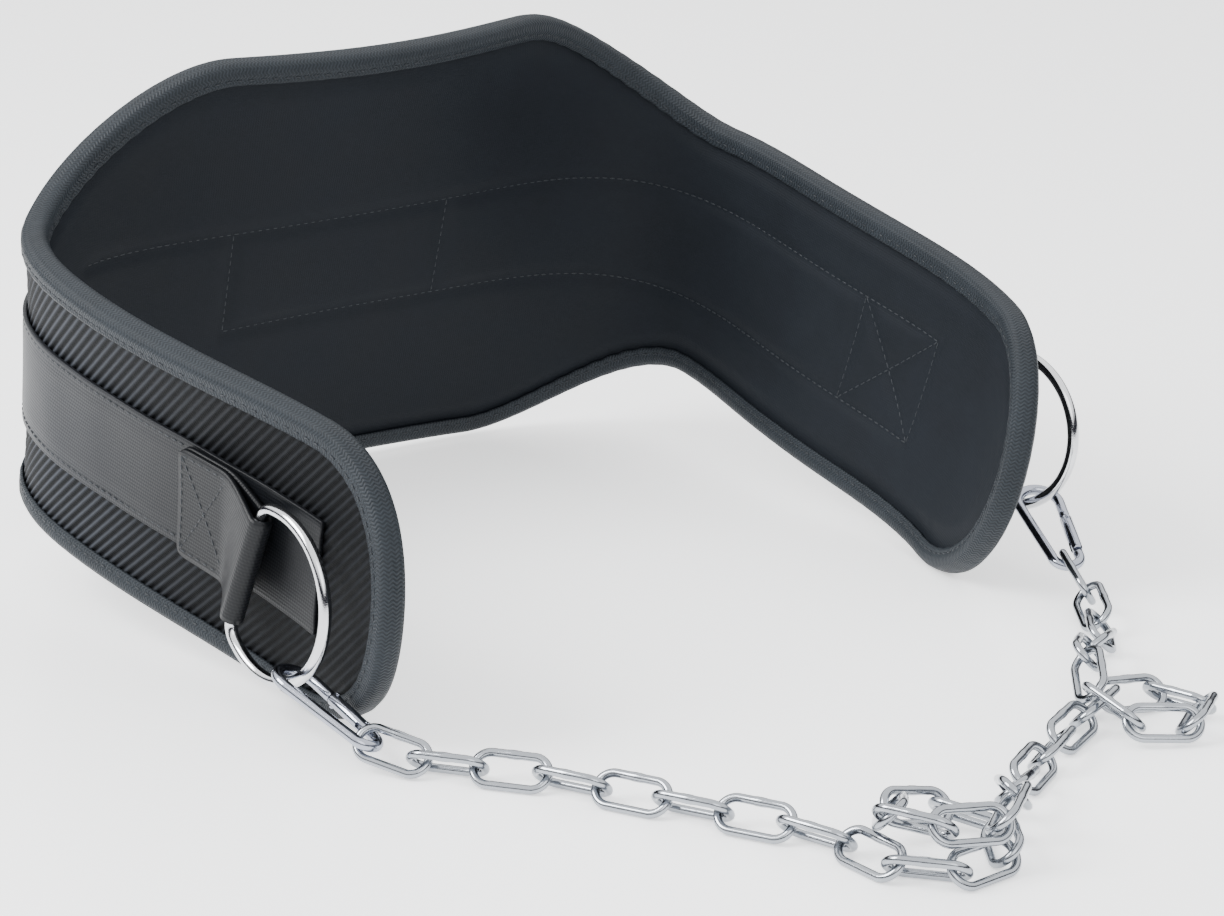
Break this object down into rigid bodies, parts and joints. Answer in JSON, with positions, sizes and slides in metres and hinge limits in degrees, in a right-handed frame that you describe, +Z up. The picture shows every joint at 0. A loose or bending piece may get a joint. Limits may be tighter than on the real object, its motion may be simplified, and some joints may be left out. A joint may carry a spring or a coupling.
{
  "type": "dip belt with chain",
  "caption": "Padded waist belt, wide at the back, with a webbing strap, D rings, two snap links and a steel chain for hanging weights.",
  "frame": {"origin": "middle of the underside of the box round the whole part, on the surface on which it stands", "axes": "+Z up, +Y from the open front to the back of the belt, +X from the left arm to the right arm"},
  "size_m": [0.3092, 0.423, 0.1726],
  "materials": {
    "lining_cloth": "smooth woven lining, matt",
    "ribbed_cloth": "cloth with fine slanting ribs",
    "binding_tape": "woven binding tape",
    "strap_webbing": "smooth woven webbing with a slight sheen",
    "ring_steel": "polished",
    "snap_steel": "bright plated",
    "chain_steel": "bright plated"
  },
  "bodies": {
    "belt": {"lining_pad": "lining_cloth", "ribbed_cover": "ribbed_cloth", "edge_binding": "binding_tape", "waist_webbing": "strap_webbing", "ring_loop_left": "strap_webbing", "ring_loop_right": "strap_webbing", "d_ring_left": "ring_steel", "d_ring_right": "ring_steel", "snap_link_left": "snap_steel", "snap_link_right": "snap_steel", "chain_link_01": "chain_steel", "chain_link_02": "chain_steel", "chain_link_03": "chain_steel", "chain_link_04": "chain_steel", "chain_link_05": "chain_steel", "chain_link_06": "chain_steel", "chain_link_07": "chain_steel", "chain_link_08": "chain_steel", "chain_link_09": "chain_steel", "chain_link_10": "chain_steel", "chain_link_11": "chain_steel", "chain_link_12": "chain_steel", "chain_link_13": "chain_steel", "chain_link_14": "chain_steel", "chain_link_15": "chain_steel", "chain_link_16": "chain_steel", "chain_link_17": "chain_steel", "chain_link_18": "chain_steel", "chain_link_19": "chain_steel", "chain_link_20": "chain_steel", "chain_link_21": "chain_steel", "chain_link_22": "chain_steel", "chain_link_23": "chain_steel", "chain_link_24": "chain_steel", "chain_link_25": "chain_steel", "chain_link_26": "chain_steel", "chain_link_27": "chain_steel", "chain_link_28": "chain_steel", "chain_link_29": "chain_steel", "chain_link_30": "chain_steel", "chain_link_31": "chain_steel", "chain_link_32": "chain_steel", "chain_link_33": "chain_steel", "chain_link_34": "chain_steel", "chain_link_35": "chain_steel"},
    "snap_gate_left": {"snap_gate_left": "snap_steel"},
    "snap_gate_right": {"snap_gate_right": "snap_steel"}
  },
  "joints": [
    {"name": "gate_hinge_left", "type": "hinge", "parent": "belt", "child": "snap_gate_left", "pos_m": [-0.12902, -0.03388, 0.00943], "axis": [0.3523, -0.2806, 0.8928], "range_deg": [0, 20], "stiffness_Nm_per_rad": 0.02, "springref_deg": -11.46},
    {"name": "gate_hinge_right", "type": "hinge", "parent": "belt", "child": "snap_gate_right", "pos_m": [0.1415, -0.05873, 0.01508], "axis": [-0.1305, -0.3335, 0.9337], "range_deg": [0, 20], "stiffness_Nm_per_rad": 0.02, "springref_deg": -11.46}
  ]
}
